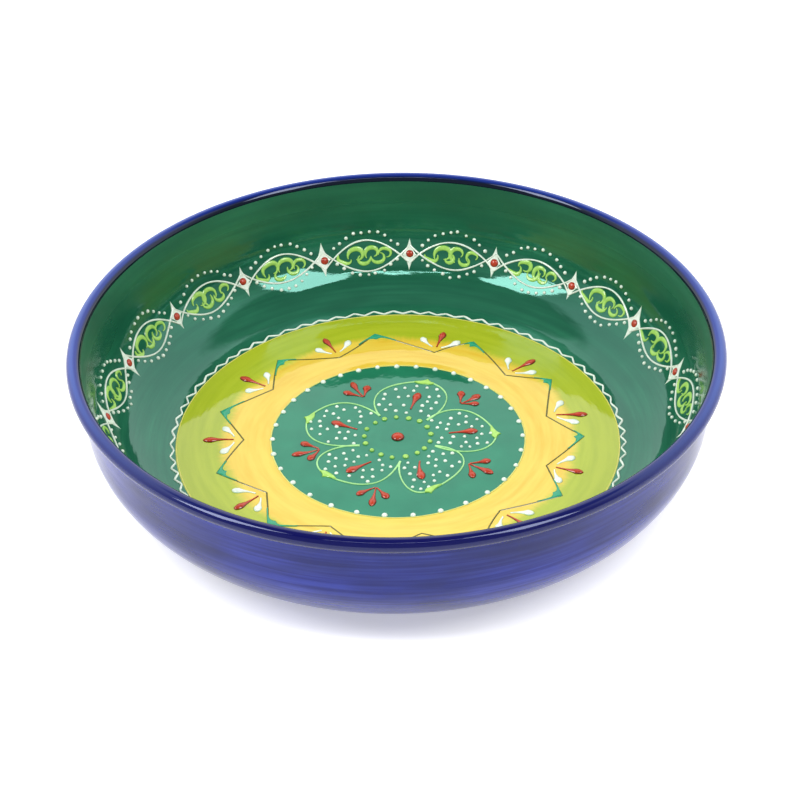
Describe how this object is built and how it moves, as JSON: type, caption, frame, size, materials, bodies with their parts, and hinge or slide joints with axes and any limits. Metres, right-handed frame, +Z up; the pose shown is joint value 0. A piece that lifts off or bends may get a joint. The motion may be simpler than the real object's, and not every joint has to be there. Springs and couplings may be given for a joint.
{
  "type": "serving plate",
  "caption": "Deep round serving plate in glazed earthenware, blue outside, green inside, with a raised piped garland on the wall and a yellow and lime star and flower on its floor.",
  "frame": {"origin": "on the plate's axis, at the height of the foot ring's resting face (the table)", "axes": "+Z up out of the bowl along its axis of revolution; +X to the right and +Y away from a viewer who looks at the plate from -Y"},
  "size_m": [0.3, 0.3, 0.0675],
  "materials": {
    "bare_clay": "matt unglazed foot",
    "blue_glaze": "glossy",
    "pale_glaze": "glossy",
    "rim_blue_glaze": "glossy",
    "green_glaze": "glossy",
    "lime_glaze": "glossy",
    "yellow_glaze": "glossy",
    "medallion_green_glaze": "glossy",
    "cream_slip": "glossy",
    "white_slip": "glossy",
    "olive_line": "glossy",
    "turquoise_glaze": "glossy",
    "red_slip": "glossy",
    "lime_slip": "glossy",
    "pale_lime_slip": "glossy"
  },
  "bodies": {
    "root": {"clay_body": "bare_clay", "outer_glaze": "blue_glaze", "base_glaze": "pale_glaze", "rim_glaze": "rim_blue_glaze", "wall_glaze": "green_glaze", "lime_band_glaze": "lime_glaze", "yellow_band_glaze": "yellow_glaze", "medallion_glaze": "medallion_green_glaze", "band_edge_line": "cream_slip", "medallion_edge_line": "cream_slip", "zigzag_trail": "white_slip", "star_line": "olive_line", "star_tip_pools": "turquoise_glaze", "star_red_drops": "red_slip", "star_white_drops": "white_slip", "medallion_edge_beads": "white_slip", "centre_bead": "red_slip", "centre_ring_beads": "lime_slip", "petal_outlines": "pale_lime_slip", "petal_tip_blobs": "lime_slip", "petal_beads": "white_slip", "petal_red_drops": "red_slip", "sprig_red_drops": "red_slip", "garland_frames": "white_slip", "garland_diamonds": "white_slip", "garland_scrolls": "lime_slip", "garland_red_beads": "red_slip", "garland_upper_beads": "white_slip", "garland_lower_beads": "white_slip"}
  },
  "joints": []
}
